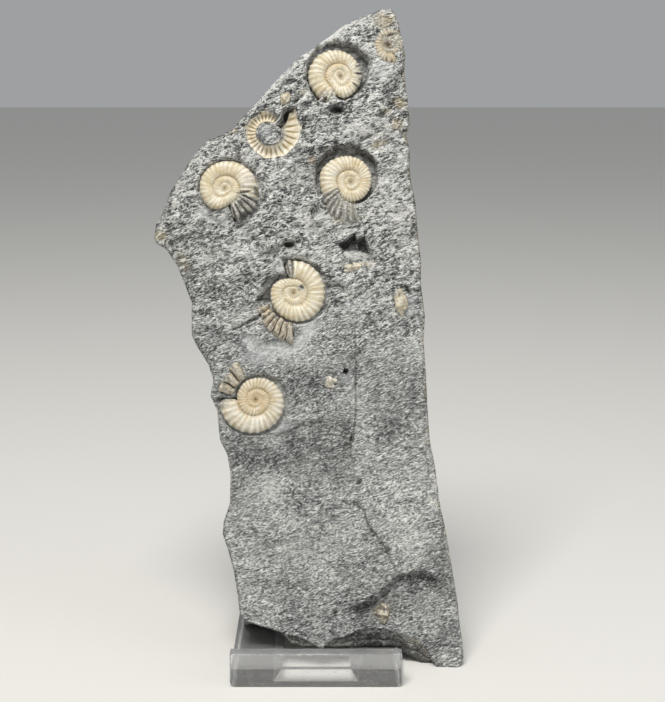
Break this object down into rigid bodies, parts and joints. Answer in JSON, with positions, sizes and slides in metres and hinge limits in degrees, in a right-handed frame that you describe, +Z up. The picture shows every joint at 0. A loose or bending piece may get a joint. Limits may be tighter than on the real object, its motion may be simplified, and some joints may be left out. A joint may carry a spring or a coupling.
{
  "type": "promicroceras ammonite fossil on display stand",
  "caption": "Tall slab of grey marl with cream ribbed ammonites in its face, leaning back in a clear plastic display stand.",
  "frame": {"origin": "on the table, below the middle of the object's outer box", "axes": "+Z up; the fossil face looks to -Y and leans back 12 degrees; +X to the right of someone who looks at the face"},
  "size_m": [0.0934, 0.086, 0.1935],
  "materials": {
    "marl": "matt, broken grey marl",
    "calcite": "satin cream calcite shell",
    "worn_shell": "matt worn shell",
    "clear_plastic": "clear polished sheet with light scratches and dust"
  },
  "bodies": {
    "root": {"marl_slab": "marl", "ammonite_top": "calcite", "ammonite_left": "calcite", "ammonite_right": "calcite", "ammonite_centre": "calcite", "ammonite_low_left": "calcite", "ammonite_mould": "calcite", "shell_fragment_upper": "calcite", "shell_fragment_middle": "calcite", "shell_fragment_right": "calcite", "shell_fragment_foot": "calcite", "pale_nodule": "calcite", "ammonite_corner": "worn_shell", "broken_whorl_centre": "worn_shell", "broken_whorl_low_left": "worn_shell", "display_stand": "clear_plastic"}
  },
  "joints": []
}
